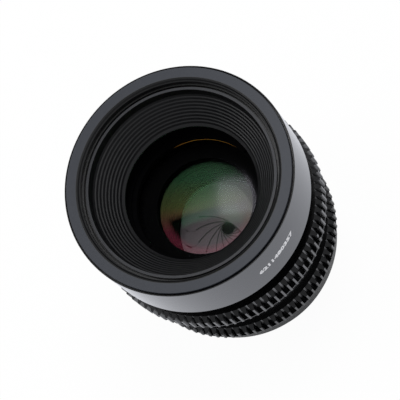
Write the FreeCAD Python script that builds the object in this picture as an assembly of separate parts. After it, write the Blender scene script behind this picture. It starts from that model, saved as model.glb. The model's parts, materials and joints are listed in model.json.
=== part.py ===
"""Cinema prime lens, standing on its rear mount with the front element up.

The optical axis is +Z and the origin is the centre of the mount's rear rim.
All sizes are millimetres.  Stations along the axis are given as distances
behind the front face, the way a lens drawing gives them, and up() turns them
into heights.  The rings are shown at their first stops: focus at infinity, iris
closed down.
"""
import FreeCAD, Part

import math
import os

os.makedirs("parts", exist_ok=True)

# Driving dimensions of the whole lens
LENGTH = 84.0             # front face to the rear rim of the mount
HUB_RADIUS = 31.2         # smooth barrel between and in front of the gears
BARREL_OUTER = 27.0       # fixed inner barrel
BARREL_BORE = 25.0
RUNNING = 0.05            # radial clearance of every running fit
END_PLAY = 0.3            # axial gap between a fixed and a turning ring
EDGE = 0.3                # usual chamfer

# Front ring, tube and hood
TUBE_RADIUS = 35.43
TUBE_FRONT, TUBE_REAR = 0.6, 21.3
TUBE_BORE = 33.7
WEB_FRONT, WEB_REAR = 17.6, 20.6      # web between the tube and the barrel
FACE_RADIUS = 34.7        # flat front ring
FACE_EDGE = 0.1
GROOVE_RADIUS = 35.2      # outer wall of the groove round the front ring
GROOVE_DEPTH = 1.6
FILTER_THREAD = 30.6      # minor radius of the M62 x 0.75 filter thread
FILTER_SEAT = 2.8
SEAT_RADIUS = 30.1        # bore of the front ring behind the seat
FLANGE_FRONT, FLANGE_REAR = 4.2, 5.6  # flange of the hood, held by the front ring
HOOD_FLANGE = 33.2
NECK_INNER, NECK_OUTER = 28.7, 29.5
HOOD_WALL = 1.1
HOOD_STEPS = 9
HOOD_FIRST = (28.4, 6.5)  # radius and station of the first and last step
HOOD_LAST = (22.1, 13.3)
HOOD_OPENING = 20.9
HOOD_END = 14.5

# Follow gears, module 0.8
MODULE = 0.8
PRESSURE_ANGLE = math.radians(20.0)
FOCUS_TEETH, FOCUS_GEAR_FRONT, FOCUS_GEAR_REAR = 89, 29.9, 38.3
IRIS_TEETH, IRIS_GEAR_FRONT, IRIS_GEAR_REAR = 84, 55.5, 62.1
GEAR_FRONT_CHAMFER = 1.75
GEAR_REAR_CHAMFER = 0.25
COLLAR_DROP, COLLAR_WIDTH = 0.35, 0.4     # plain collar that closes the tooth gaps at the rear

# Focus drive: the ring turns and the lens block slides forward
FOCUS_THROW = 110.0       # degrees
FOCUS_TRAVEL = 5.0
CAM_OUTER = 28.6
CAM_FRONT, CAM_REAR = 29.5, 46.9
FOLLOWER_STATION = 38.0   # at infinity, the rest pose
FOLLOWER_RADIUS = 1.5
FOLLOWER_ANGLES = (90.0, 210.0, 330.0)

# Rings on the barrel
SLEEVE_FRONT, SLEEVE_BORE = 21.0, 30.0
RETAINER_FRONT, RETAINER_REAR = 27.0, 29.2
INDEX_FRONT, INDEX_REAR = 47.2, 50.8
INDEX_SCREW_STATION = 49.0
REAR_BARREL_FRONT = 62.5
BARREL_REAR = 74.0

# Rear barrel and mount
REAR_RADIUS = 32.1
REAR_SHOULDER = 71.9
REAR_END_RADIUS = 30.4
REAR_OPENING = 22.5
FLANGE_STATION = 76.0
FLANGE_RADIUS = 30.0
FLANGE_FACE = 78.6
FACE_INNER, RELIEF_STATION = 24.3, 78.2   # flat seat, relieved behind the lugs
BAYONET_RADIUS = 22.2
SPIGOT_RADIUS, SPIGOT_FRONT = 21.4, 82.0
THROAT_RADIUS = 20.2
LUG_RADIUS = 23.9
LUG_FRONT, LUG_REAR = 80.4, 81.8
LUG_ANGLES = (20.0, 140.0, 260.0)
LUG_SPAN = 50.0           # degrees
LOCK_RADIUS, LOCK_DEPTH, LOCK_ANGLE = 1.6, 1.2, 200.0
MOUNT_BAFFLE_FRONT, MOUNT_BAFFLE_BORE = 77.0, 18.6
MOUNT_BAFFLE_RIBS = 4

# Stop pins and screws
STOP_RADIUS, STOP_CIRCLE, STOP_ANGLE = 0.9, 29.9, 150.0
STOP_DEPTH = 1.7          # depth of the stop grooves
STOP_SOCKET = 1.5         # depth of the sockets that hold the pins
INDEX_SCREW_ANGLES = (0.0, 120.0, 240.0)
GEAR_SCREW_ANGLES = (60.0, 180.0, 300.0)
FOCUS_SCREW_STATION, IRIS_SCREW_STATION = 34.4, 59.6
FOCUS_ROOT = MODULE * FOCUS_TEETH / 2 - 1.25 * MODULE
IRIS_ROOT = MODULE * IRIS_TEETH / 2 - 1.25 * MODULE
MOUNT_SCREW_ANGLES = (45.0, 135.0, 225.0, 315.0)
MOUNT_SCREW_CIRCLE = 26.6
SCREW_SHANK, SCREW_HEAD, SCREW_HEAD_HEIGHT = 1.0, 1.9, 1.1
SCREW_LENGTH = 4.0
SET_SCREW_RADIUS, SET_SCREW_SOCKET = 0.95, 0.45
SET_SCREW_INNER = 29.2

# Lens block
BLOCK_RADIUS = BARREL_BORE - RUNNING
BLOCK_FRONT, BLOCK_JOINT, BLOCK_REAR = 21.0, 52.5, 73.0
FRONT_BORE = 21.3
MIDDLE_BORE, MIDDLE_FRONT, MIDDLE_REAR = 18.5, 45.2, 51.2
REAR_BORE, REAR_BORE_FRONT = 16.5, 62.0
STEM_RADIUS = 1.0         # of the cam followers
FRONT_STOP = 15.4         # fixed aperture behind the front element
GLASS_GAP = 0.05
GLASS_RIM = 1.5            # flat ground rim of an element

# Iris
BLADES = 15
BLADE_PIVOT = 21.6        # radius of the circle of pivots
BLADE_INNER, BLADE_OUTER = 15.6, 20.9
BLADE_START, BLADE_END = 10.0, 112.0   # degrees along the open ring
BLADE_ARM = 5.0           # pivot to drive pin
BLADE_LOBE = 0.9
BLADE_THICKNESS = 0.10
BLADE_LEVEL = 0.13        # spacing of the stacked blades
PIN_RADIUS = 0.45
PIN_PLAY = 0.03
CLOSED_HOLE = 1.8         # radius of the opening in the rest pose
IRIS_THROW = 48.0         # degrees of the aperture ring
PLATE_REAR = 53.8
STACK_FRONT = 53.9
ACTUATOR_FRONT, ACTUATOR_REAR = 56.0, 60.6
FIRST_BLADE_ANGLE = -96.0 # pivot of the foremost blade
CHAMBER_RADIUS = 23.6
CHAMBER_REAR = 60.7
DRIVE_PIN_RADIUS = 1.25
DRIVE_PIN_STATION = 59.0
DRIVE_PIN_ANGLE = 30.0
DRIVE_PIN_TIP = 29.6
DRIVE_STEM_RADIUS, DRIVE_STEM_TIP = 0.8, 22.6
CLOSING_ANGLE = math.degrees(2 * math.asin((BLADE_INNER - CLOSED_HOLE) / (2 * BLADE_PIVOT)))
PITCH_ANGLE = 360.0 / BLADES

X, Z = FreeCAD.Vector(1, 0, 0), FreeCAD.Vector(0, 0, 1)
ORIGIN = FreeCAD.Vector(0, 0, 0)


def up(station):
    """Height of a station given behind the front face."""
    return LENGTH - station


def save(name, shape):
    shape.exportStep(f"parts/{name}.step")


def revolve(points):
    """Solid of revolution from (radius, station) corners."""
    corners = [FreeCAD.Vector(radius, 0, up(station)) for radius, station in points]
    face = Part.Face(Part.makePolygon(corners + corners[:1]))
    return face.revolve(ORIGIN, Z, 360)


def tube(outer, inner, front, rear):
    """Plain ring between two stations."""
    base = FreeCAD.Vector(0, 0, up(rear))
    ring = Part.makeCylinder(outer, rear - front, base, Z)
    return ring.cut(Part.makeCylinder(inner, rear - front, base, Z)) if inner else ring


def sector(outer, inner, front, rear, start, sweep):
    """Part of a ring, from the angle start through sweep degrees."""
    base = FreeCAD.Vector(0, 0, up(rear))
    ring = Part.makeCylinder(outer, rear - front, base, Z, sweep)
    ring = ring.cut(Part.makeCylinder(inner, rear - front, base, Z, 360))
    return turned(ring, start)


def turned(shape, angle, centre=ORIGIN):
    copy = shape.copy()
    copy.rotate(centre, Z, angle)
    return copy


def around(shape, angles):
    """Copies of a shape at several angles about the axis, as one compound."""
    return Part.makeCompound([turned(shape, angle) for angle in angles])


def radial_rod(radius, inner, outer, station, angle):
    """Round rod that points away from the axis."""
    rod = Part.makeCylinder(radius, outer - inner, FreeCAD.Vector(inner, 0, up(station)), X)
    return turned(rod, angle)


def axial_rod(radius, distance, angle, front, rear):
    """Round rod parallel to the axis."""
    rod = Part.makeCylinder(radius, rear - front, FreeCAD.Vector(distance, 0, up(rear)), Z)
    return turned(rod, angle)


def polar(radius, angle, height=0.0):
    """Point at a radius and an angle in radians."""
    return FreeCAD.Vector(radius * math.cos(angle), radius * math.sin(angle), height)


# Front ring, tube and hood

def front_ring():
    """Flat ring with the filter thread, screwed into the tube."""
    lead_in = 1.0
    return revolve([
        (FILTER_THREAD + lead_in, 0.0), (FACE_RADIUS - FACE_EDGE, 0.0), (FACE_RADIUS, FACE_EDGE),
        (FACE_RADIUS, FLANGE_REAR), (HOOD_FLANGE, FLANGE_REAR), (HOOD_FLANGE, FLANGE_FRONT),
        (SEAT_RADIUS, FLANGE_FRONT), (SEAT_RADIUS, FILTER_SEAT), (FILTER_THREAD, FILTER_SEAT),
        (FILTER_THREAD, lead_in)])


def front_baffle():
    """Stepped cone that keeps stray light off the front element."""
    outline = [(HOOD_FLANGE, FLANGE_FRONT), (HOOD_FLANGE, FLANGE_REAR)]
    outline += [(NECK_OUTER + HOOD_WALL, FLANGE_REAR), (HOOD_OPENING + HOOD_WALL, HOOD_END)]
    outline += [(HOOD_OPENING, HOOD_END), (HOOD_OPENING, HOOD_END - 0.6)]
    radius_step = (HOOD_FIRST[0] - HOOD_LAST[0]) / (HOOD_STEPS - 1)
    station_step = (HOOD_LAST[1] - HOOD_FIRST[1]) / (HOOD_STEPS - 1)
    for step in reversed(range(HOOD_STEPS)):
        radius = HOOD_FIRST[0] - step * radius_step
        station = HOOD_FIRST[1] + step * station_step
        outline += [(radius - 0.55 * radius_step, station), (radius, station - 0.75 * station_step)]
    outline += [(NECK_INNER, FILTER_SEAT), (NECK_OUTER, FILTER_SEAT), (NECK_OUTER, FLANGE_FRONT)]
    return revolve(outline)


def front_tube():
    """Plain outer tube, with the web that carries it on the inner barrel."""
    seat = FLANGE_REAR + 0.1
    groove_end = TUBE_FRONT + GROOVE_DEPTH
    return revolve([
        (GROOVE_RADIUS, TUBE_FRONT), (TUBE_RADIUS - FACE_EDGE, TUBE_FRONT),
        (TUBE_RADIUS, TUBE_FRONT + FACE_EDGE), (TUBE_RADIUS, TUBE_REAR - EDGE),
        (TUBE_RADIUS - EDGE, TUBE_REAR), (TUBE_BORE, TUBE_REAR), (TUBE_BORE, WEB_REAR),
        (BARREL_OUTER, WEB_REAR), (BARREL_OUTER, WEB_FRONT), (TUBE_BORE, WEB_FRONT), (TUBE_BORE, seat),
        (FACE_RADIUS, seat), (FACE_RADIUS, groove_end), (GROOVE_RADIUS, groove_end)])


# Fixed barrel

def iris_window(inner, outer, front, rear, margin):
    """Opening that the drive pin sweeps, with a margin on every side."""
    reach = math.degrees((DRIVE_PIN_RADIUS + margin) / inner)
    return sector(outer, inner, front - DRIVE_PIN_RADIUS - margin, rear + DRIVE_PIN_RADIUS + margin,
                  DRIVE_PIN_ANGLE - reach, IRIS_THROW + 2 * reach)


def inner_barrel():
    """Guide tube with three straight slots and the iris window."""
    body = tube(BARREL_OUTER, BARREL_BORE, WEB_FRONT, BARREL_REAR)
    front, rear = FOLLOWER_STATION - FOCUS_TRAVEL, FOLLOWER_STATION
    half = FOLLOWER_RADIUS + PIN_PLAY
    slot = Part.makeBox(4.0, 2 * half, rear - front,
                        FreeCAD.Vector(BARREL_BORE - 1.0, -half, up(rear)))
    for station in (front, rear):
        slot = slot.fuse(radial_rod(half, BARREL_BORE - 1.0, BARREL_BORE + 3.0, station, 0.0))
    body = body.cut(around(slot, FOLLOWER_ANGLES))
    window = iris_window(BARREL_BORE - 0.5, BARREL_OUTER + 0.5,
                         DRIVE_PIN_STATION - FOCUS_TRAVEL, DRIVE_PIN_STATION, 0.3)
    return body.cut(window)


def index_ring():
    """Fixed ring between the two scales, with sockets for the stop pins."""
    body = revolve([
        (BARREL_OUTER, INDEX_FRONT), (HUB_RADIUS - EDGE, INDEX_FRONT), (HUB_RADIUS, INDEX_FRONT + EDGE),
        (HUB_RADIUS, INDEX_REAR - EDGE), (HUB_RADIUS - EDGE, INDEX_REAR), (BARREL_OUTER, INDEX_REAR)])
    body = body.cut(stop_pin(INDEX_FRONT, INDEX_FRONT + STOP_SOCKET))
    body = body.cut(stop_pin(INDEX_REAR - STOP_SOCKET, INDEX_REAR))
    hole = radial_rod(SCREW_SHANK, BARREL_OUTER - 0.5, HUB_RADIUS + EDGE, INDEX_SCREW_STATION, 0.0)
    return body.cut(around(hole, INDEX_SCREW_ANGLES))


def index_screws():
    """Three set screws that hold the index ring on the barrel."""
    head = HUB_RADIUS - EDGE
    screw = radial_rod(SCREW_SHANK, BARREL_OUTER, head, INDEX_SCREW_STATION, 0.0)
    socket = radial_rod(SET_SCREW_SOCKET, head - 1.0, head, INDEX_SCREW_STATION, 0.0)
    return around(screw.cut(socket), INDEX_SCREW_ANGLES)


def stop_pin(front, rear):
    return axial_rod(STOP_RADIUS, STOP_CIRCLE, STOP_ANGLE, front, rear)


def stop_groove(front, rear, throw):
    """Arc groove whose ends stop a pin.  The ring turns forward by throw."""
    play = math.degrees((STOP_RADIUS + PIN_PLAY) / STOP_CIRCLE)
    width = STOP_RADIUS + PIN_PLAY
    return sector(STOP_CIRCLE + width, STOP_CIRCLE - width, front, rear,
                  STOP_ANGLE - throw - play, throw + 2 * play)


def rear_barrel():
    """Rear housing, clamped on the end of the inner barrel."""
    body = revolve([
        (BARREL_OUTER, REAR_BARREL_FRONT), (REAR_RADIUS - EDGE, REAR_BARREL_FRONT),
        (REAR_RADIUS, REAR_BARREL_FRONT + EDGE), (REAR_RADIUS, REAR_SHOULDER),
        (REAR_END_RADIUS, FLANGE_STATION), (REAR_OPENING, FLANGE_STATION),
        (REAR_OPENING, BARREL_REAR), (BARREL_OUTER, BARREL_REAR)])
    for angle in MOUNT_SCREW_ANGLES:
        body = body.cut(countersink(angle))
    return body


def bayonet_mount():
    """Flange and three-lug bayonet."""
    body = revolve([
        (THROAT_RADIUS, FLANGE_STATION), (FLANGE_RADIUS, FLANGE_STATION),
        (FLANGE_RADIUS, FLANGE_FACE - EDGE), (FLANGE_RADIUS - EDGE, FLANGE_FACE),
        (FACE_INNER, FLANGE_FACE), (FACE_INNER, RELIEF_STATION),
        (BAYONET_RADIUS, RELIEF_STATION), (BAYONET_RADIUS, SPIGOT_FRONT), (SPIGOT_RADIUS, SPIGOT_FRONT),
        (SPIGOT_RADIUS, LENGTH - EDGE), (SPIGOT_RADIUS - EDGE, LENGTH), (THROAT_RADIUS, LENGTH)])
    for angle in LUG_ANGLES:
        body = body.fuse(sector(LUG_RADIUS, BAYONET_RADIUS - 0.5, LUG_FRONT, LUG_REAR, angle, LUG_SPAN))
    for angle in MOUNT_SCREW_ANGLES:
        body = body.cut(countersink(angle))
    pocket = axial_rod(LOCK_RADIUS, MOUNT_SCREW_CIRCLE, LOCK_ANGLE, FLANGE_FACE - LOCK_DEPTH, FLANGE_FACE)
    return body.cut(pocket)


def countersink(angle):
    """Outline of one mount screw, flush with the flange face."""
    centre = FreeCAD.Vector(MOUNT_SCREW_CIRCLE, 0, up(FLANGE_FACE))
    head = Part.makeCone(SCREW_HEAD, SCREW_SHANK, SCREW_HEAD_HEIGHT, centre, Z)
    shank = Part.makeCylinder(SCREW_SHANK, SCREW_LENGTH, centre, Z)
    return turned(head.fuse(shank), angle)


def mount_screws():
    """Four countersunk screws with a cross recess."""
    length, width, depth = 2.0, 0.45, 0.6
    corner = FreeCAD.Vector(MOUNT_SCREW_CIRCLE - length / 2, -width / 2, up(FLANGE_FACE))
    recess = Part.makeBox(length, width, depth, corner)
    cross = recess.fuse(turned(recess, 90.0, FreeCAD.Vector(MOUNT_SCREW_CIRCLE, 0, 0)))
    return around(countersink(0.0).cut(cross), MOUNT_SCREW_ANGLES)


def rear_baffle():
    """Ribbed black ring inside the mount."""
    rear, pitch, rib_height, taper = LENGTH - 0.6, 1.5, 1.0, 0.15
    outline = [(THROAT_RADIUS, MOUNT_BAFFLE_FRONT), (THROAT_RADIUS, rear), (MOUNT_BAFFLE_BORE, rear)]
    for rib in range(MOUNT_BAFFLE_RIBS):
        station = rear - pitch * rib
        crest = MOUNT_BAFFLE_BORE - rib_height - taper * rib
        outline += [(crest, station - 0.4 * pitch), (MOUNT_BAFFLE_BORE, station - pitch)]
    outline += [(MOUNT_BAFFLE_BORE, MOUNT_BAFFLE_FRONT)]
    return revolve(outline)


# Gears

def gear_ring(teeth, bore, front, rear):
    """Spur gear ring with a chamfered front and a collar behind the teeth."""
    pitch = MODULE * teeth / 2
    tip, root = pitch + MODULE, pitch - 1.25 * MODULE
    base = pitch * math.cos(PRESSURE_ANGLE)
    involute = math.tan(PRESSURE_ANGLE) - PRESSURE_ANGLE

    def half_angle(radius):
        """Half the tooth's angle at a radius, from the involute of the circle."""
        pressure = math.acos(min(1.0, base / radius))
        return math.pi / (2 * teeth) + involute - (math.tan(pressure) - pressure)

    height = up(rear)
    edges = []
    step = 2 * math.pi / teeth
    middle = (tip + root) / 2 + 0.2
    for tooth in range(teeth):
        centre = tooth * step
        following = centre + step
        root_half, tip_half, middle_half = half_angle(root), half_angle(tip), half_angle(middle)
        rise = [polar(root, centre - root_half, height), polar(middle, centre - middle_half, height),
                polar(tip, centre - tip_half, height)]
        fall = [polar(tip, centre + tip_half, height), polar(middle, centre + middle_half, height),
                polar(root, centre + root_half, height)]
        foot = polar(root, following - root_half, height)
        edges.append(Part.Arc(*rise).toShape())
        edges.append(Part.Arc(rise[2], polar(tip, centre, height), fall[0]).toShape())
        edges.append(Part.Arc(*fall).toShape())
        edges.append(Part.Arc(fall[2], polar(root, centre + step / 2, height), foot).toShape())
    body = Part.Face(Part.Wire(edges)).extrude(FreeCAD.Vector(0, 0, rear - front))
    blank = revolve([
        (bore, front), (tip - GEAR_FRONT_CHAMFER, front), (tip + 0.1, front + GEAR_FRONT_CHAMFER + 0.1),
        (tip + 0.1, rear - GEAR_REAR_CHAMFER - 0.1), (tip - GEAR_REAR_CHAMFER, rear), (bore, rear)])
    collar = tube(tip - COLLAR_DROP, bore, rear - COLLAR_WIDTH, rear)
    return body.common(blank).fuse(collar).removeSplitter()


def gear_screws(station, root):
    """Three set screws that lock a gear ring to its sleeve."""
    head = root - EDGE
    screw = radial_rod(SET_SCREW_RADIUS, SET_SCREW_INNER, head, station, 0.0)
    socket = radial_rod(SET_SCREW_SOCKET, head - 1.0, root, station, 0.0)
    return around(screw.cut(socket), GEAR_SCREW_ANGLES)


def gear_screw_holes(station):
    hole = radial_rod(SET_SCREW_RADIUS, SET_SCREW_INNER, FOCUS_ROOT + 2.5, station, 0.0)
    return around(hole, GEAR_SCREW_ANGLES)


# Focus ring

def focus_sleeve():
    """Turning barrel that carries the focus gear and the distance scale."""
    body = revolve([
        (SLEEVE_BORE, SLEEVE_FRONT), (HUB_RADIUS, SLEEVE_FRONT), (HUB_RADIUS, CAM_REAR - EDGE),
        (HUB_RADIUS - EDGE, CAM_REAR), (CAM_OUTER, CAM_REAR), (CAM_OUTER, CAM_FRONT),
        (SLEEVE_BORE, CAM_FRONT)])
    body = body.cut(gear_screw_holes(FOCUS_SCREW_STATION))
    return body.cut(stop_groove(CAM_REAR - STOP_DEPTH, CAM_REAR, FOCUS_THROW))


def cam_sleeve():
    """Sleeve with three helical slots that drive the lens block."""
    body = tube(CAM_OUTER, BARREL_OUTER + RUNNING, CAM_FRONT, CAM_REAR)
    lead = FOCUS_TRAVEL * 360.0 / FOCUS_THROW
    half = FOLLOWER_RADIUS + PIN_PLAY
    path = Part.makeHelix(lead, FOCUS_TRAVEL, BARREL_OUTER + 0.8, 0, True)
    inner, outer = BARREL_OUTER - 0.6, CAM_OUTER + 0.6
    corners = [FreeCAD.Vector(inner, 0, -half), FreeCAD.Vector(outer, 0, -half),
               FreeCAD.Vector(outer, 0, half), FreeCAD.Vector(inner, 0, half)]
    profile = Part.makePolygon(corners + corners[:1])
    groove = Part.Wire(path).makePipeShell([profile], True, True)
    groove.translate(FreeCAD.Vector(0, 0, up(FOLLOWER_STATION)))
    start = radial_rod(half, inner - 0.4, outer + 0.4, FOLLOWER_STATION, 0.0)
    end = radial_rod(half, inner - 0.4, outer + 0.4, FOLLOWER_STATION - FOCUS_TRAVEL, -FOCUS_THROW)
    cutter = groove.fuse([start, end])
    for angle in FOLLOWER_ANGLES:
        body = body.cut(turned(cutter, angle))
    return body


# Lens block

def front_cell():
    """Front half of the sliding block, with bores for the glass."""
    body = revolve([
        (FRONT_BORE, BLOCK_FRONT), (BLOCK_RADIUS - EDGE, BLOCK_FRONT), (BLOCK_RADIUS, BLOCK_FRONT + EDGE),
        (BLOCK_RADIUS, BLOCK_JOINT), (MIDDLE_BORE - 1.0, BLOCK_JOINT), (MIDDLE_BORE - 1.0, MIDDLE_REAR),
        (MIDDLE_BORE, MIDDLE_REAR), (MIDDLE_BORE, MIDDLE_FRONT), (FRONT_BORE, MIDDLE_FRONT)])
    hole = radial_rod(STEM_RADIUS, FRONT_BORE - 1.0, BLOCK_RADIUS + 1.0, FOLLOWER_STATION, 0.0)
    return body.cut(around(hole, FOLLOWER_ANGLES))


def cam_followers():
    """Three shouldered pins that run in both sets of slots."""
    stem = radial_rod(STEM_RADIUS, FRONT_BORE + 0.7, BLOCK_RADIUS, FOLLOWER_STATION, 0.0)
    head = radial_rod(FOLLOWER_RADIUS, BLOCK_RADIUS, CAM_OUTER - 0.2, FOLLOWER_STATION, 0.0)
    return around(stem.fuse(head), FOLLOWER_ANGLES)


def rear_cell():
    """Rear half of the block, with the iris chamber."""
    body = revolve([
        (CHAMBER_RADIUS, BLOCK_JOINT), (BLOCK_RADIUS, BLOCK_JOINT), (BLOCK_RADIUS, BLOCK_REAR - 3.0),
        (REAR_BORE + 2.5, BLOCK_REAR), (REAR_BORE, BLOCK_REAR), (REAR_BORE, REAR_BORE_FRONT),
        (REAR_BORE - 1.0, REAR_BORE_FRONT), (REAR_BORE - 1.0, CHAMBER_REAR), (CHAMBER_RADIUS, CHAMBER_REAR)])
    return body.cut(iris_window(CHAMBER_RADIUS - 0.5, BLOCK_RADIUS + 0.5,
                                DRIVE_PIN_STATION, DRIVE_PIN_STATION, 0.2))


def cap(radius, edge, vertex):
    """Region between a flat edge plane and a spherical surface."""
    sag = abs(vertex - edge)
    ball = (radius ** 2 + sag ** 2) / (2 * sag)
    centre = vertex + ball if vertex < edge else vertex - ball
    sphere = Part.makeSphere(ball, FreeCAD.Vector(0, 0, up(centre)))
    return sphere.common(tube(radius + 1.0, 0.0, min(vertex, edge), max(vertex, edge)))


def element(radius, front_edge, front_vertex, rear_edge, rear_vertex):
    """Glass element.  A vertex outside its edge is convex, inside is hollow."""
    body = tube(radius, 0.0, front_edge, rear_edge)
    clear = radius - GLASS_RIM
    for edge, vertex, outwards in ((front_edge, front_vertex, -1), (rear_edge, rear_vertex, 1)):
        surface = cap(clear, edge, vertex)
        convex = (vertex - edge) * outwards > 0
        body = body.fuse(surface) if convex else body.cut(surface)
    return body


def retaining_ring(outer, inner, front, rear):
    """Threaded ring with two spanner slots in its front face."""
    width, depth = 1.0, 0.7
    corner = FreeCAD.Vector(-outer - 1.0, -width / 2, up(front + depth))
    slot = Part.makeBox(2 * outer + 2.0, width, depth, corner)
    return tube(outer, inner, front, rear).cut(slot)


def front_spacer(front, rear):
    """Spacer with a fixed stop close behind the front element."""
    bore, lip, slope = 20.2, 0.4, 1.6
    return revolve([
        (FRONT_BORE, front), (FRONT_BORE, rear), (bore, rear), (bore, front + lip + slope),
        (FRONT_STOP, front + lip), (FRONT_STOP, front)])


# Iris

def drive_pin_place(closing):
    """Drive pin centre of the first blade, turned by closing degrees from fully open."""
    pivot = FreeCAD.Vector(BLADE_PIVOT, 0, 0)
    arm = polar(BLADE_ARM, math.radians(90.0 + closing))
    return pivot + arm


def stadium(start, end, radius, thickness):
    """Flat bar with round ends, lying on z = 0."""
    along = end.sub(start)
    length = along.Length
    bar = Part.makeBox(length, 2 * radius, thickness, FreeCAD.Vector(0, -radius, 0))
    bar.rotate(ORIGIN, Z, math.degrees(math.atan2(along.y, along.x)))
    bar.translate(start)
    for centre in (start, end):
        bar = bar.fuse(Part.makeCylinder(radius, thickness, centre, Z))
    return bar


def blade(number):
    """One curved blade with its pivot pin in front and its drive pin behind."""
    middle, half = (BLADE_INNER + BLADE_OUTER) / 2, (BLADE_OUTER - BLADE_INNER) / 2
    start, end = math.radians(BLADE_START), math.radians(BLADE_END)
    plate = Part.makeCylinder(BLADE_OUTER, BLADE_THICKNESS, ORIGIN, Z, BLADE_END - BLADE_START)
    plate = plate.cut(Part.makeCylinder(BLADE_INNER, BLADE_THICKNESS))
    plate = turned(plate, BLADE_START)
    for angle in (start, end):
        plate = plate.fuse(Part.makeCylinder(half, BLADE_THICKNESS, polar(middle, angle), Z))
    pivot = FreeCAD.Vector(BLADE_PIVOT, 0, 0)
    pin = drive_pin_place(0.0)
    pin_angle = math.atan2(pin.y, pin.x)
    for first, second in ((pivot, pin), (pivot, polar(middle, start)), (pin, polar(middle, pin_angle))):
        plate = plate.fuse(stadium(first, second, BLADE_LOBE, BLADE_THICKNESS))
    station = STACK_FRONT + number * BLADE_LEVEL
    height = up(station + BLADE_THICKNESS)
    plate.translate(FreeCAD.Vector(0, 0, height))
    pivot_top, pin_bottom = up(PLATE_REAR - 0.8), up(ACTUATOR_FRONT + 1.0)
    foot, drive_foot = FreeCAD.Vector(pivot.x, 0, height), FreeCAD.Vector(pin.x, pin.y, pin_bottom)
    pivot_pin = Part.makeCylinder(PIN_RADIUS, pivot_top - height, foot, Z)
    drive_pin = Part.makeCylinder(PIN_RADIUS, height + BLADE_THICKNESS - pin_bottom, drive_foot, Z)
    plate = plate.fuse([pivot_pin, drive_pin]).removeSplitter()
    plate.rotate(pivot, Z, CLOSING_ANGLE)
    return turned(plate, FIRST_BLADE_ANGLE + number * PITCH_ANGLE)


def iris_plate():
    """Fixed plate in front of the blades, with a blind hole for each pivot."""
    body = tube(CHAMBER_RADIUS, BLADE_INNER + 0.1, BLOCK_JOINT, PLATE_REAR)
    hole = axial_rod(PIN_RADIUS + PIN_PLAY, BLADE_PIVOT, FIRST_BLADE_ANGLE, PLATE_REAR - 0.9, PLATE_REAR)
    return body.cut(around(hole, [number * PITCH_ANGLE for number in range(BLADES)]))


def cam_slot():
    """Cutter for one spiral slot of the actuator, in its rest position."""
    half = PIN_RADIUS + PIN_PLAY
    steps = 12
    centres, normals = [], []
    for step in range(steps + 1):
        opened = step / steps
        place = drive_pin_place(CLOSING_ANGLE * (1 - opened))
        centres.append(turned_point(place, FIRST_BLADE_ANGLE - IRIS_THROW * opened))
    for step in range(steps + 1):
        before, after = centres[max(0, step - 1)], centres[min(steps, step + 1)]
        along = after.sub(before).normalize()
        normals.append(FreeCAD.Vector(-along.y, along.x, 0))
    sides = []
    for sign in (half, -half):
        curve = Part.BSplineCurve()
        curve.interpolate([centre.add(normal * sign) for centre, normal in zip(centres, normals)])
        sides.append(curve.toShape())
    left, right = sides
    caps = []
    for end in (0, -1):
        caps.append(Part.LineSegment(left.Vertexes[end].Point, right.Vertexes[end].Point).toShape())
    face = Part.Face(Part.Wire(Part.__sortEdges__([left, right] + caps)))
    depth = ACTUATOR_REAR - ACTUATOR_FRONT
    cutter = face.extrude(FreeCAD.Vector(0, 0, depth))
    for centre in (centres[0], centres[-1]):
        cutter = cutter.fuse(Part.makeCylinder(half, depth, centre, Z))
    cutter.translate(FreeCAD.Vector(0, 0, up(ACTUATOR_REAR)))
    return cutter


def turned_point(point, angle):
    turn = math.radians(angle)
    return FreeCAD.Vector(point.x * math.cos(turn) - point.y * math.sin(turn),
                          point.x * math.sin(turn) + point.y * math.cos(turn), point.z)


def iris_actuator():
    """Turning ring whose spiral slots swing the blades."""
    body = tube(CHAMBER_RADIUS - RUNNING, BLADE_INNER + 0.1, ACTUATOR_FRONT, ACTUATOR_REAR)
    slots = around(cam_slot(), [number * PITCH_ANGLE for number in range(BLADES)])
    body = body.cut(slots)
    return body.cut(radial_rod(DRIVE_STEM_RADIUS, DRIVE_STEM_TIP, CHAMBER_RADIUS,
                               DRIVE_PIN_STATION, DRIVE_PIN_ANGLE))


def iris_drive_pin():
    """Pin that links the actuator to the aperture ring."""
    rim = CHAMBER_RADIUS - RUNNING
    stem = radial_rod(DRIVE_STEM_RADIUS, DRIVE_STEM_TIP, rim, DRIVE_PIN_STATION, DRIVE_PIN_ANGLE)
    head = radial_rod(DRIVE_PIN_RADIUS, rim, DRIVE_PIN_TIP, DRIVE_PIN_STATION, DRIVE_PIN_ANGLE)
    return stem.fuse(head)


# Aperture ring

def iris_sleeve():
    """Turning barrel that carries the iris gear and the aperture scale."""
    front, rear = INDEX_REAR + END_PLAY, REAR_BARREL_FRONT - END_PLAY
    bore = BARREL_OUTER + RUNNING
    body = revolve([
        (bore, front), (HUB_RADIUS - EDGE, front), (HUB_RADIUS, front + EDGE), (HUB_RADIUS, rear),
        (bore, rear)])
    body = body.cut(gear_screw_holes(IRIS_SCREW_STATION))
    inner, half = bore - 1.0, DRIVE_PIN_RADIUS + PIN_PLAY
    groove_front = DRIVE_PIN_STATION - FOCUS_TRAVEL - DRIVE_PIN_RADIUS - 0.35
    groove = Part.makeBox(DRIVE_PIN_TIP + 0.3 - inner, 2 * half, rear - groove_front,
                          FreeCAD.Vector(inner, -half, up(rear)))
    body = body.cut(turned(groove, DRIVE_PIN_ANGLE))
    return body.cut(stop_groove(front, front + STOP_DEPTH - END_PLAY, IRIS_THROW))


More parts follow.
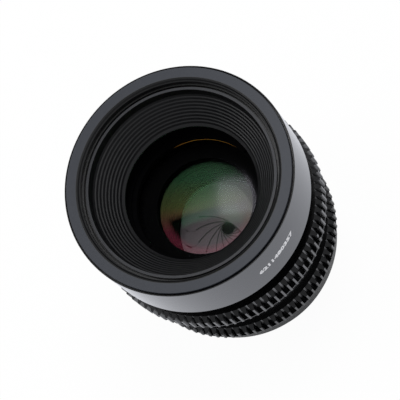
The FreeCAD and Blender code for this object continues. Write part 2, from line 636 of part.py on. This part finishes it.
def main():
    save("front_ring", front_ring())
    save("front_baffle", front_baffle())
    save("front_tube", front_tube())
    save("inner_barrel", inner_barrel())
    save("focus_retainer", retaining_ring(29.6, BARREL_OUTER, RETAINER_FRONT, RETAINER_REAR))
    save("index_ring", index_ring())
    save("index_screws", index_screws())
    save("focus_stop_pin", stop_pin(INDEX_FRONT - 1.7, INDEX_FRONT + STOP_SOCKET))
    save("iris_stop_pin", stop_pin(INDEX_REAR - STOP_SOCKET, INDEX_REAR + 1.5))
    save("rear_barrel", rear_barrel())
    save("bayonet_mount", bayonet_mount())
    save("mount_screws", mount_screws())
    save("rear_baffle", rear_baffle())

    focus_gear = gear_ring(FOCUS_TEETH, HUB_RADIUS, FOCUS_GEAR_FRONT, FOCUS_GEAR_REAR)
    save("focus_gear", focus_gear.cut(gear_screw_holes(FOCUS_SCREW_STATION)))
    save("focus_gear_screws", gear_screws(FOCUS_SCREW_STATION, FOCUS_ROOT))
    save("focus_sleeve", focus_sleeve())
    save("cam_sleeve", cam_sleeve())

    save("front_cell", front_cell())
    save("cam_followers", cam_followers())
    save("rear_cell", rear_cell())
    front_glass = FRONT_BORE - GLASS_GAP
    save("front_retainer", retaining_ring(FRONT_BORE, 19.9, 22.0, 24.0))
    save("front_element", element(front_glass, 24.0, 20.8, 28.5, 27.7))
    save("front_spacer", front_spacer(28.5, 34.0))
    save("second_element", element(front_glass, 34.0, 29.4, 38.0, 34.5))
    save("second_spacer", tube(FRONT_BORE, 19.0, 38.0, MIDDLE_FRONT))
    save("third_element", element(MIDDLE_BORE - GLASS_GAP, MIDDLE_FRONT, 39.5, MIDDLE_REAR, 48.6))
    save("fourth_element", element(REAR_BORE - GLASS_GAP, REAR_BORE_FRONT, 63.4, 66.4, 68.2))
    save("rear_spacer", tube(REAR_BORE, 15.6, 66.4, 68.8))
    save("rear_element", element(REAR_BORE - GLASS_GAP, 70.0, 68.7, 71.2, 71.9))
    save("rear_retainer", tube(REAR_BORE, 15.4, 71.2, 72.6))

    save("iris_plate", iris_plate())
    save("iris_actuator", iris_actuator())
    save("iris_drive_pin", iris_drive_pin())
    for number in range(BLADES):
        save(f"iris_blade_{number + 1:02d}", blade(number))

    iris_gear = gear_ring(IRIS_TEETH, HUB_RADIUS, IRIS_GEAR_FRONT, IRIS_GEAR_REAR)
    save("iris_gear", iris_gear.cut(gear_screw_holes(IRIS_SCREW_STATION)))
    save("iris_gear_screws", gear_screws(IRIS_SCREW_STATION, IRIS_ROOT))
    save("iris_sleeve", iris_sleeve())


main()
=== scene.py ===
"""Looks of the cinema prime lens: finishes, the number row, the blade edges and the studio."""
import json
import math

import bmesh
import bpy
from mathutils import Matrix, Vector


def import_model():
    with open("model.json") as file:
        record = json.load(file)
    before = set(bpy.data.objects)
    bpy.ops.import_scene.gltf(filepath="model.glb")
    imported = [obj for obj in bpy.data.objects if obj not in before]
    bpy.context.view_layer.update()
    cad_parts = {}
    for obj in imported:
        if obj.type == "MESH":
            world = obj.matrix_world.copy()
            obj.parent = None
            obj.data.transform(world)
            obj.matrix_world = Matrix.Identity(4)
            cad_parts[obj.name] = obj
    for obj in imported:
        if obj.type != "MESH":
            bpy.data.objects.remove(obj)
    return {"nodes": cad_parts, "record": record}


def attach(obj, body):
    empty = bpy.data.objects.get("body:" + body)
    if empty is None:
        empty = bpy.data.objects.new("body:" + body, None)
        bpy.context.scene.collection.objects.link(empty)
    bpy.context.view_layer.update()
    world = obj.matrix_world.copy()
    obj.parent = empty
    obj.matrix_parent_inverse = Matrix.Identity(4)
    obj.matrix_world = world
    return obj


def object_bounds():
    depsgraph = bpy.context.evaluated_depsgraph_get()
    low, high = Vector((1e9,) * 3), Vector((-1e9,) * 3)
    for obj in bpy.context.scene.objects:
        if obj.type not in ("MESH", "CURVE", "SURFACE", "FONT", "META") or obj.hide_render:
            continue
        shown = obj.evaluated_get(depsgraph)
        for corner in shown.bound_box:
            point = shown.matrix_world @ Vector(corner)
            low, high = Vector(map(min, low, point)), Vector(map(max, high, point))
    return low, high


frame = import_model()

MM = 0.001
cad_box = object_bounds()
nodes = frame["nodes"]
LENGTH = cad_box[1].z

# Places taken over from the frame, in millimetres behind the front face or from the axis
TUBE_RADIUS = 35.43
TUBE_FRONT_FACE = 0.72    # the tube's end face lies in front of this
GROOVE_WALL = 35.28       # what lies inside this is the groove round the front ring
FACE_INNER = 31.7         # inner edge of the flat face, outside the thread's lead-in
THREAD_PITCH = 0.75
RETAINER_BORE = 20.0      # the front retainer's bore lies inside this
RETAINER_REAR = 23.6      # and the stretch behind this carries the painted amber highlight
NECK_FACE = 2.85          # the land of the hood's neck lies in front of this
BLADES = 15
BLADE_PIVOT = 21.6        # from the axis to every blade's pivot
BLADE_INNER = 15.6        # radius of a blade's curved inner edge
BLADE_START, BLADE_END = 10.0, 112.0   # degrees that the inner edge runs through
BLADE_STACK, BLADE_LEVEL = 53.9, 0.13  # front of the first blade, and the step to the next
FIRST_BLADE_ANGLE, PITCH_ANGLE = -96.0, 360.0 / BLADES
CLOSED_HOLE = 1.8         # radius of the hole at rest
CLOSING_ANGLE = 2 * math.asin((BLADE_INNER - CLOSED_HOLE) / (2 * BLADE_PIVOT))


def up(station):
    """Height in metres of a station in millimetres behind the front face."""
    return LENGTH - station * MM


# Colours and nodes

GRAIN_DEPTH = 0.02        # mm, of every blasted or painted surface
PATCH_SIZE = 2.0          # mm across a patch of one roughness


def colour(text):
    """Linear RGBA from an sRGB hex value."""
    parts = [int(text[i:i + 2], 16) / 255 for i in (1, 3, 5)]
    linear = [p / 12.92 if p <= 0.04045 else ((p + 0.055) / 1.055) ** 2.4 for p in parts]
    return (*linear, 1.0)


def add(tree, kind, settings=None, **inputs):
    """Adds a node with its settings.  An input is a value, a socket, or a node, for its first output."""
    node = tree.nodes.new(kind)
    for name, value in (settings or {}).items():
        setattr(node, name, value)
    for name, value in inputs.items():
        socket = node.inputs[int(name[1:])] if name[0] == "i" and name[1:].isdigit() else node.inputs[name]
        if isinstance(value, bpy.types.Node):
            value = value.outputs[0]
        if isinstance(value, bpy.types.NodeSocket):
            tree.links.new(value, socket)
        else:
            socket.default_value = value
    return node


def material(name):
    """Empty node material and its tree."""
    made = bpy.data.materials.new(name)
    made.use_nodes = True
    made.node_tree.nodes.clear()
    return made, made.node_tree


def finished(made, tree, surface):
    """The material, once its surface is joined to an output."""
    add(tree, "ShaderNodeOutputMaterial", Surface=surface)
    return made


def grain(tree, size_mm, strength):
    """Bump from fine noise of the given grain size."""
    place = add(tree, "ShaderNodeTexCoord").outputs["Object"]
    noise = add(tree, "ShaderNodeTexNoise", Vector=place, Scale=1 / (size_mm * MM), Detail=2.0)
    return add(tree, "ShaderNodeBump", Strength=strength, Distance=GRAIN_DEPTH * MM,
               Height=noise.outputs["Fac"])


def coat(tree, tone, low, high, normal, metallic=0.0, specular=0.5):
    """Opaque finish whose roughness wanders between low and high, as handled metal's does."""
    place = add(tree, "ShaderNodeTexCoord").outputs["Object"]
    noise = add(tree, "ShaderNodeTexNoise", Vector=place, Scale=1 / (PATCH_SIZE * MM), Detail=4.0)
    limits = {"From Min": 0.3, "From Max": 0.7, "To Min": low, "To Max": high}
    rough = add(tree, "ShaderNodeMapRange", {"clamp": True}, Value=noise.outputs["Fac"], **limits)
    return add(tree, "ShaderNodeBsdfPrincipled", **{
        "Base Color": colour(tone), "Metallic": metallic, "Roughness": rough,
        "Specular IOR Level": specular, "Normal": normal})


# Places on the lens, for finishes that end somewhere

def radius(tree):
    """Distance from the optical axis, in metres."""
    place = add(tree, "ShaderNodeTexCoord").outputs["Object"]
    flat = add(tree, "ShaderNodeVectorMath", {"operation": "MULTIPLY"}, i0=place, i1=(1, 1, 0))
    return add(tree, "ShaderNodeVectorMath", {"operation": "LENGTH"}, i0=flat).outputs["Value"]


def height(tree):
    """Height above the mount's rear rim, in metres."""
    place = add(tree, "ShaderNodeTexCoord").outputs["Object"]
    return add(tree, "ShaderNodeSeparateXYZ", Vector=place).outputs["Z"]


def within(tree, limit_mm):
    """One nearer to the axis than a radius, and nought beyond it."""
    return add(tree, "ShaderNodeMath", {"operation": "LESS_THAN"}, i0=radius(tree), i1=limit_mm * MM)


def ahead_of(tree, station):
    """One in front of a station, and nought behind it."""
    return add(tree, "ShaderNodeMath", {"operation": "GREATER_THAN"}, i0=height(tree), i1=up(station))


def outwards(tree, start_mm, end_mm):
    """Value that rises from nought to one between two radii."""
    limits = {"From Min": start_mm * MM, "From Max": end_mm * MM, "To Min": 0.0, "To Max": 1.0}
    return add(tree, "ShaderNodeMapRange", {"clamp": True}, Value=radius(tree), **limits)


def sweep(tree, direction, start_mm, end_mm, low=0.0, high=1.0):
    """Value that runs from low to high between two distances from the axis in a direction."""
    place = add(tree, "ShaderNodeTexCoord").outputs["Object"]
    along = add(tree, "ShaderNodeVectorMath", {"operation": "DOT_PRODUCT"}, i0=place, i1=direction)
    limits = {"From Min": start_mm * MM, "From Max": end_mm * MM, "To Min": low, "To Max": high}
    return add(tree, "ShaderNodeMapRange", {"clamp": True}, Value=along.outputs["Value"], **limits)


# Directions in the plane of the glass: across the camera's view, up it, and square to the lower edge of the
# painted reflection
ACROSS = (0.737, -0.676, 0.0)
UPWARDS = (0.738, 0.675, 0.0)
ABOVE_EDGE = (0.532, 0.824, 0.0)

# Finishes

ANODISED_BLACK = "#070708"
TURNING_PITCH = 0.15      # mm between the rings left by the lathe


def black_coat(tree):
    return coat(tree, ANODISED_BLACK, 0.24, 0.32, grain(tree, 0.12, 0.2))


def satin_grey_anodised():
    """Bead-blasted aluminium, anodised grey: dark face on, white where it turns away; inside the groove wall
    and on the tube's end face it is painted black as shade of the deep groove.
    """
    made, tree = material("satin_grey_anodised")
    outside = coat(tree, "#24272E", 0.09, 0.12, grain(tree, 0.12, 0.08), 0.0, 0.4)
    # Painted shade: black finish inside the groove wall and ahead of the tube's front face, where the deep
    # groove falls dark.
    black = add(tree, "ShaderNodeMath", {"operation": "MAXIMUM"},
                i0=within(tree, GROOVE_WALL), i1=ahead_of(tree, TUBE_FRONT_FACE))
    return finished(made, tree, add(tree, "ShaderNodeMixShader", i0=black, i1=outside, i2=black_coat(tree)))


def threaded(tree):
    """Bump of the filter thread, from the wave of its pitch up the wall."""
    wave = add(tree, "ShaderNodeMath", {"operation": "PINGPONG"}, i0=height(tree), i1=THREAD_PITCH / 2 * MM)
    ridge = add(tree, "ShaderNodeMath", {"operation": "MULTIPLY"}, i0=wave, i1=within(tree, FACE_INNER))
    return add(tree, "ShaderNodeBump", Strength=0.5, Distance=0.6, Height=ridge)


def dark_anodised_face():
    """Turned and fine-blasted ring, anodised dark grey, with its thread and seat left black."""
    made, tree = material("dark_anodised_face")
    face = coat(tree, "#282B32", 0.38, 0.44, grain(tree, 0.10, 0.2), 0.3)
    thread = coat(tree, ANODISED_BLACK, 0.34, 0.40, threaded(tree))
    inside = within(tree, FACE_INNER)
    return finished(made, tree, add(tree, "ShaderNodeMixShader", i0=inside, i1=face, i2=thread))


def black_anodised():
    """Hard black anodising: nearly black, with a satin highlight."""
    made, tree = material("black_anodised")
    return finished(made, tree, black_coat(tree))


def baffle_black():
    """Black anodised ridges of the hood, with the lighter turned land of its neck."""
    made, tree = material("baffle_black")
    ridges = coat(tree, "#08080A", 0.34, 0.42, grain(tree, 0.08, 0.3))
    land = coat(tree, "#222327", 0.34, 0.40, grain(tree, 0.08, 0.2), 0.3)
    top = ahead_of(tree, NECK_FACE)
    return finished(made, tree, add(tree, "ShaderNodeMixShader", i0=top, i1=ridges, i2=land))


def turned_steel():
    """Stainless steel faced on a lathe, with fine rings."""
    made, tree = material("turned_steel")
    rings = add(tree, "ShaderNodeMath", {"operation": "PINGPONG"}, i0=radius(tree), i1=TURNING_PITCH * MM)
    bump = add(tree, "ShaderNodeBump", Strength=0.1, Distance=0.1, Height=rings)
    return finished(made, tree, coat(tree, "#B9B9BA", 0.22, 0.3, bump, 1.0))


def blackened_steel():
    """Black-oxide screws and pins, dark with a metal sheen."""
    made, tree = material("blackened_steel")
    return finished(made, tree, coat(tree, "#2A2A2C", 0.3, 0.42, grain(tree, 0.08, 0.2), 0.8))


def machined_brass():
    """Brass cam sleeve and followers, bright from the cutter."""
    made, tree = material("machined_brass")
    return finished(made, tree, coat(tree, "#B08D4A", 0.25, 0.35, grain(tree, 0.10, 0.15), 1.0))


def coated_blade_steel():
    """Iris blades: thin spring steel with a dry dark coating."""
    made, tree = material("coated_blade_steel")
    return finished(made, tree, coat(tree, "#5E525A", 0.38, 0.46, grain(tree, 0.15, 0.1), 0.3))


def blade_edge_black():
    """Painted shadow that a blade's neighbour casts along its inner edge, which reads as a thin dark line."""
    made, tree = material("blade_edge_black")
    return finished(made, tree, coat(tree, "#050506", 0.5, 0.6, grain(tree, 0.1, 0.1)))


def dead_black(tree):
    return coat(tree, "#020203", 0.8, 0.9, grain(tree, 0.1, 0.1), 0.0, 0.05)


def light_trap_black():
    """Matt black paint on the walls between the elements, which gives back next to nothing."""
    made, tree = material("light_trap_black")
    return finished(made, tree, dead_black(tree))


def retainer_black():
    """Black retaining ring, with an amber highlight painted along a line on its far side: a painted
    reflection.
    """
    made, tree = material("retainer_black")
    amber = add(tree, "ShaderNodeBsdfDiffuse", Color=colour("#FFB850"))
    foot = add(tree, "ShaderNodeMath", {"operation": "LESS_THAN"}, i0=height(tree), i1=up(RETAINER_REAR))
    bore = add(tree, "ShaderNodeMath", {"operation": "MULTIPLY"}, i0=within(tree, RETAINER_BORE), i1=foot)
    # Painted highlight: the amber line is laid only on the far side of the bore, where the lamp's reflection
    # falls.
    painted_glint_side = sweep(tree, UPWARDS, 17.0, 18.5)
    line = add(tree, "ShaderNodeMath", {"operation": "MULTIPLY"}, i0=bore, i1=painted_glint_side)
    return finished(made, tree, add(tree, "ShaderNodeMixShader", i0=line, i1=dead_black(tree), i2=amber))


# Radii inside which the elements mirror and show painted reflections, and the ring where the painted crescent
# reflection sets in
FRONT_CLEAR, SECOND_CLEAR, THIRD_CLEAR, REAR_CLEAR = 19.8, 15.4, 11.6, 15.0
CRESCENT_INNER, CRESCENT_FULL = 11.8, 13.6

# Strengths of the painted reflections on the second and third element, where they are strongest
CRESCENT_SHARE, DISC_SHARE = 0.09, 0.10


def painted_disc_reflection(tree):
    """Painted reflection in teal over the upper part of the third element, with a soft straight lower edge:
    share and tone.
    """
    upper = sweep(tree, ABOVE_EDGE, -1.2, 0.4)
    share = add(tree, "ShaderNodeMath", {"operation": "MULTIPLY"}, i0=upper, i1=DISC_SHARE)
    tone = add(tree, "ShaderNodeMix", {"data_type": "RGBA"}, i0=sweep(tree, ACROSS, -4.0, 8.0),
               i6=colour("#90E8B8"), i7=colour("#D8DCEC"))
    return share, tone.outputs[2]


def painted_crescent_reflection(tree):
    """Painted reflection on the second element: green above, olive at the left and pink along the lower rim:
    share and tone.
    """
    shape = add(tree, "ShaderNodeMath", {"operation": "MAXIMUM"},
                i0=sweep(tree, ABOVE_EDGE, -1.8, 0.2), i1=outwards(tree, CRESCENT_INNER, CRESCENT_FULL))
    faded = add(tree, "ShaderNodeMath", {"operation": "MULTIPLY"},
                i0=shape, i1=sweep(tree, ACROSS, 4.0, 14.0, 1.0, 0.6))
    share = add(tree, "ShaderNodeMath", {"operation": "MULTIPLY"}, i0=faded, i1=CRESCENT_SHARE)
    green = add(tree, "ShaderNodeMix", {"data_type": "RGBA"}, i0=sweep(tree, UPWARDS, -2.0, 9.0),
                i6=colour("#C8CC78"), i7=colour("#78C088"))
    tone = add(tree, "ShaderNodeMix", {"data_type": "RGBA"}, i0=sweep(tree, UPWARDS, 0.0, -8.0),
               i6=green.outputs[2], i7=colour("#FF6890"))
    return share, tone.outputs[2]


def coated_glass(name, tint, share, roughness, clear_radius, reflection_painter=None):
    """Polished element with a thin-film coating, which passes the view and mirrors a little light, more at a
    slant. The mirror's colour is painted darker to the left and at the top, a painted shade on the
    reflection. An optional painted reflection, a coloured diffuse layer lit by the lamps, is laid over it.
    Outside the clear radius and on the rear face there is only clear glass."""
    made, tree = material(name)
    clear = add(tree, "ShaderNodeBsdfTransparent", Color=(0.985, 0.99, 0.985, 1.0))
    rear = add(tree, "ShaderNodeNewGeometry").outputs["Backfacing"]
    front = add(tree, "ShaderNodeMath", {"operation": "LESS_THAN"}, i0=rear, i1=0.5)
    inside = add(tree, "ShaderNodeMath", {"operation": "MULTIPLY"}, i0=within(tree, clear_radius), i1=front)
    # Painted shade: the mirror's tone goes dark to the left and at the top of the glass.
    painted_reflection_shade = add(tree, "ShaderNodeMath", {"operation": "MULTIPLY"},
              i0=sweep(tree, ACROSS, -5.0, 5.0), i1=sweep(tree, UPWARDS, 15.0, 8.0))
    tone = add(tree, "ShaderNodeMix", {"data_type": "RGBA"}, i0=painted_reflection_shade, i6=colour("#203828"), i7=colour(tint))
    mirror = add(tree, "ShaderNodeBsdfGlossy", Color=tone.outputs[2], Roughness=roughness)
    facing = add(tree, "ShaderNodeLayerWeight", Blend=0.5).outputs["Facing"]
    steep = add(tree, "ShaderNodeMath", {"operation": "POWER"}, i0=facing, i1=4.0)
    limits = {"From Min": 0.0, "From Max": 1.0, "To Min": share, "To Max": 3 * share}
    slanted = add(tree, "ShaderNodeMapRange", {"clamp": True}, Value=steep, **limits)
    mirrored = add(tree, "ShaderNodeMath", {"operation": "MULTIPLY"}, i0=slanted, i1=inside)
    surface = add(tree, "ShaderNodeMixShader", i0=mirrored, i1=clear, i2=mirror)
    # Painted reflection: a coloured diffuse layer shaped like reflected light.
    if reflection_painter:
        share, tone = reflection_painter(tree)
        painted_reflection_layer = add(tree, "ShaderNodeBsdfDiffuse", Color=tone)
        painted_reflection_share = add(tree, "ShaderNodeMath", {"operation": "MULTIPLY"}, i0=inside, i1=share)
        surface = add(tree, "ShaderNodeMixShader", i0=painted_reflection_share, i1=surface, i2=painted_reflection_layer)
    return finished(made, tree, surface)


def printed_white():
    """White ink of the digits, printed on the tube."""
    made, tree = material("printed_white")
    return finished(made, tree, coat(tree, "#FAFAFC", 0.4, 0.55, grain(tree, 0.1, 0.1)))


FINISHES = {
    "grey_anodised": satin_grey_anodised(),
    "dark_grey_anodised": dark_anodised_face(),
    "black_anodised": black_anodised(),
    "matt_black_paint": baffle_black(),
    "mount_steel": turned_steel(),
    "pin_steel": blackened_steel(),
    "brass": machined_brass(),
    "blade_steel": coated_blade_steel(),
}
# Every glass has painted shade on its mirror; the second and third also carry painted reflections.
GLASS = {
    "front_element": coated_glass("front_coating", "#F0ECFA", 0.009, 0.16, FRONT_CLEAR),
    "second_element": coated_glass("green_coating_painted_reflection", "#B0B468", 0.006, 0.2, SECOND_CLEAR, painted_crescent_reflection),
    "third_element": coated_glass("teal_coating_painted_reflection", "#86D8B0", 0.006, 0.2, THIRD_CLEAR, painted_disc_reflection),
    "fourth_element": coated_glass("amber_coating", "#E0A85A", 0.02, 0.1, REAR_CLEAR),
    "rear_element": coated_glass("violet_coating", "#B48CE0", 0.02, 0.1, REAR_CLEAR),
}
DIGIT_INK = printed_white()
# Painted shadow strips that lie along the blades' inner edges.
BLADE_SHADOW_PAINT = blade_edge_black()
LIGHT_TRAP = light_trap_black()
LENS_WALLS = {name: LIGHT_TRAP for name in (
    "front_cell", "rear_cell", "front_spacer", "second_spacer", "rear_spacer", "rear_retainer", "iris_plate")}
LENS_WALLS["front_retainer"] = retainer_black()


def finish_nodes():
    """Gives every CAD node its own finish, or else that of its slot."""
    slots = {part["node"]: part["material_slot"] for part in frame["record"]["subparts"]}
    for name, node in nodes.items():
        finish = GLASS.get(name) or LENS_WALLS.get(name) or FINISHES[slots[name]]
        node.data.materials.clear()
        node.data.materials.append(finish)


# Pieces

def piece(name, mesh, finish, body):
    """Puts a finished mesh on a body of the frame."""
    made = bpy.data.objects.new(name, mesh)
    bpy.context.scene.collection.objects.link(made)
    mesh.materials.append(finish)
    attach(made, body)
    return made


EDGE_WIDTH = 0.30         # of the painted shadow line along a blade, drawn wide enough to show
EDGE_THICKNESS = 0.012
EDGE_STEPS = 36


def painted_blade_shadow(number):
    """Thin dark line on the front of one blade along its curved inner edge: the painted shadow of its
    neighbour.
    """
    shape = bmesh.new()
    front = up(BLADE_STACK + number * BLADE_LEVEL)
    corners = [(BLADE_INNER, 0.0), (BLADE_INNER + EDGE_WIDTH, 0.0),
               (BLADE_INNER + EDGE_WIDTH, EDGE_THICKNESS), (BLADE_INNER, EDGE_THICKNESS)]
    profile = shape.faces.new([shape.verts.new((x * MM, 0, front + z * MM)) for x, z in corners])
    bmesh.ops.rotate(shape, verts=shape.verts, cent=(0, 0, 0),
                     matrix=Matrix.Rotation(math.radians(BLADE_START), 3, "Z"))
    bmesh.ops.spin(shape, geom=[profile] + list(profile.edges) + list(profile.verts), cent=(0, 0, 0),
                   axis=(0, 0, 1), angle=math.radians(BLADE_END - BLADE_START), steps=EDGE_STEPS)
    bmesh.ops.recalc_face_normals(shape, faces=shape.faces)
    pivot = Vector((BLADE_PIVOT * MM, 0, 0))
    bmesh.ops.rotate(shape, verts=shape.verts, cent=pivot, matrix=Matrix.Rotation(CLOSING_ANGLE, 3, "Z"))
    turn = math.radians(FIRST_BLADE_ANGLE + number * PITCH_ANGLE)
    bmesh.ops.rotate(shape, verts=shape.verts, cent=(0, 0, 0), matrix=Matrix.Rotation(turn, 3, "Z"))
    mesh = bpy.data.meshes.new(f"blade_edge_{number + 1:02d}")
    shape.to_mesh(mesh)
    shape.free()
    piece(f"blade_edge_{number + 1:02d}", mesh, BLADE_SHADOW_PAINT, f"blade_{number + 1:02d}")


DIGITS = "6211480357"     # plain numbers, with no meaning
DIGIT_HEIGHT = 2.0
DIGIT_BOLDNESS = 0.06     # thickening of the strokes, as a share of the size
CAPITAL_SHARE = 0.7       # of the font's size that a digit is tall
DIGIT_STATION = 11.8      # feet of the digits
DIGIT_FIRST = 3.0         # degrees round from -Y towards -X
DIGIT_STEP = -2.5
DIGIT_DEPTH = 0.02


def tube_numbers():
    """Row of printed digits round the grey tube, tops towards the front."""
    joined = bmesh.new()
    ahead = Matrix.Translation((0, -(TUBE_RADIUS + DIGIT_DEPTH / 2) * MM, up(DIGIT_STATION)))
    upright = ahead @ Matrix.Rotation(math.radians(90), 4, "X")
    for index, digit in enumerate(DIGITS):
        text = bpy.data.curves.new("digit", "FONT")
        text.body = digit
        text.size = DIGIT_HEIGHT / CAPITAL_SHARE * MM
        text.offset = DIGIT_BOLDNESS * text.size
        text.extrude = DIGIT_DEPTH / 2 * MM
        text.align_x = "CENTER"
        text.resolution_u = 4
        holder = bpy.data.objects.new("digit", text)
        flat = bpy.data.meshes.new_from_object(holder)
        bpy.data.objects.remove(holder)
        angle = math.radians(DIGIT_FIRST + index * DIGIT_STEP)
        flat.transform(Matrix.Rotation(-angle, 4, "Z") @ upright)
        joined.from_mesh(flat)
        bpy.data.meshes.remove(flat)
    bmesh.ops.remove_doubles(joined, verts=joined.verts, dist=0.001 * MM)
    bmesh.ops.recalc_face_normals(joined, faces=joined.faces)
    mesh = bpy.data.meshes.new("tube_numbers")
    joined.to_mesh(mesh)
    joined.free()
    piece("tube_numbers", mesh, DIGIT_INK, "barrel")


# Studio

CAMERA_SHARE = 0.96       # of the floor's own light that the camera sees, so a faint shadow stays
UNDER_LENS = 19.0         # the floor seen through the iris is left dark
MIRROR_NEAR, MIRROR_FAR = 38.0, 48.0   # the metal sees the floor fade into the lens's own shadow


def floor():
    """Pale floor, white to the camera and in the metal, with a soft shadow, and clear from underneath."""
    mesh = bpy.data.meshes.new("floor")
    shape = bmesh.new()
    bmesh.ops.create_grid(shape, x_segments=1, y_segments=1, size=6.0)
    shape.to_mesh(mesh)
    shape.free()
    plane = bpy.data.objects.new("floor", mesh)
    bpy.context.scene.collection.objects.link(plane)
    made, tree = material("pale_floor")
    path = add(tree, "ShaderNodeLightPath")
    seen = add(tree, "ShaderNodeMath", {"operation": "MAXIMUM"},
               i0=path.outputs["Is Camera Ray"], i1=path.outputs["Is Transmission Ray"])
    outside = add(tree, "ShaderNodeMath", {"operation": "GREATER_THAN"}, i0=radius(tree), i1=UNDER_LENS * MM)
    around = add(tree, "ShaderNodeMath", {"operation": "MULTIPLY"}, i0=seen, i1=outside)
    bright = add(tree, "ShaderNodeMath", {"operation": "MULTIPLY"}, i0=around, i1=CAMERA_SHARE)
    mirrored = add(tree, "ShaderNodeMath", {"operation": "MULTIPLY"},
                   i0=path.outputs["Is Glossy Ray"], i1=outwards(tree, MIRROR_NEAR, MIRROR_FAR))
    share = add(tree, "ShaderNodeMath", {"operation": "MAXIMUM"}, i0=bright, i1=mirrored)
    paper = add(tree, "ShaderNodeBsdfDiffuse", Color=colour("#F4F4F4"))
    tint = add(tree, "ShaderNodeMix", {"data_type": "RGBA"}, i0=path.outputs["Is Glossy Ray"],
               i6=colour("#FFFFFF"), i7=colour("#F6F8FF"))
    glow = add(tree, "ShaderNodeEmission", Color=tint.outputs[2], Strength=1.0)
    top = add(tree, "ShaderNodeMixShader", i0=share, i1=paper, i2=glow)
    under = add(tree, "ShaderNodeBsdfTransparent")
    below = add(tree, "ShaderNodeNewGeometry").outputs["Backfacing"]
    surface = add(tree, "ShaderNodeMixShader", i0=below, i1=top, i2=under)
    mesh.materials.append(finished(made, tree, surface))


def world():
    """Plain pale surroundings, dimmer than the lamps."""
    sky = bpy.data.worlds.new("studio")
    sky.use_nodes = True
    tree = sky.node_tree
    tree.nodes.clear()
    back = add(tree, "ShaderNodeBackground", Color=colour("#F2F4F8"), Strength=0.45)
    add(tree, "ShaderNodeOutputWorld", Surface=back)
    bpy.context.scene.world = sky


def softbox(name, spot, size, power, roll=0.0):
    """Square area lamp that looks at the middle of the lens, turned about its own axis by the roll."""
    lamp = bpy.data.lights.new(name, "AREA")
    lamp.shape = "SQUARE"
    lamp.size = size
    lamp.energy = power
    holder = bpy.data.objects.new(name, lamp)
    bpy.context.scene.collection.objects.link(holder)
    holder.location = spot
    aim = (Vector(spot) - Vector((0, 0, LENGTH / 2))).to_track_quat("Z", "Y").to_matrix()
    holder.rotation_euler = (aim @ Matrix.Rotation(math.radians(roll), 3, "Z")).to_euler()


CAMERA_PLACE = Vector((1.55, -220.6, 564.0)) * MM
CAMERA_BACK = Vector((0.0024, -0.4016, 0.9158))
CAMERA_RIGHT = Vector((0.7064, -0.6476, -0.2858))


def camera():
    """The photograph's viewpoint: from above the front, rolled so that the tube runs to the lower right."""
    data = bpy.data.cameras.new("camera")
    data.sensor_width = 36.0
    data.lens = 162.0
    holder = bpy.data.objects.new("camera", data)
    bpy.context.scene.collection.objects.link(holder)
    back = CAMERA_BACK.normalized()
    right = (CAMERA_RIGHT - back * CAMERA_RIGHT.dot(back)).normalized()
    turn = Matrix((right, back.cross(right), back)).transposed().to_4x4()
    holder.matrix_world = Matrix.Translation(CAMERA_PLACE) @ turn
    bpy.context.scene.camera = holder


bpy.context.scene.view_settings.view_transform = "Standard"
bpy.context.scene.cycles.transparent_max_bounces = 32
finish_nodes()
for number in range(BLADES):
    painted_blade_shadow(number)
tube_numbers()
floor()
world()
softbox("overhead_softbox", (0.31, 0.125, 1.02), 0.42, 5.5, 28.0)
softbox("left_softbox", (-0.50, 0.50, 0.84), 0.60, 3.5)
camera()
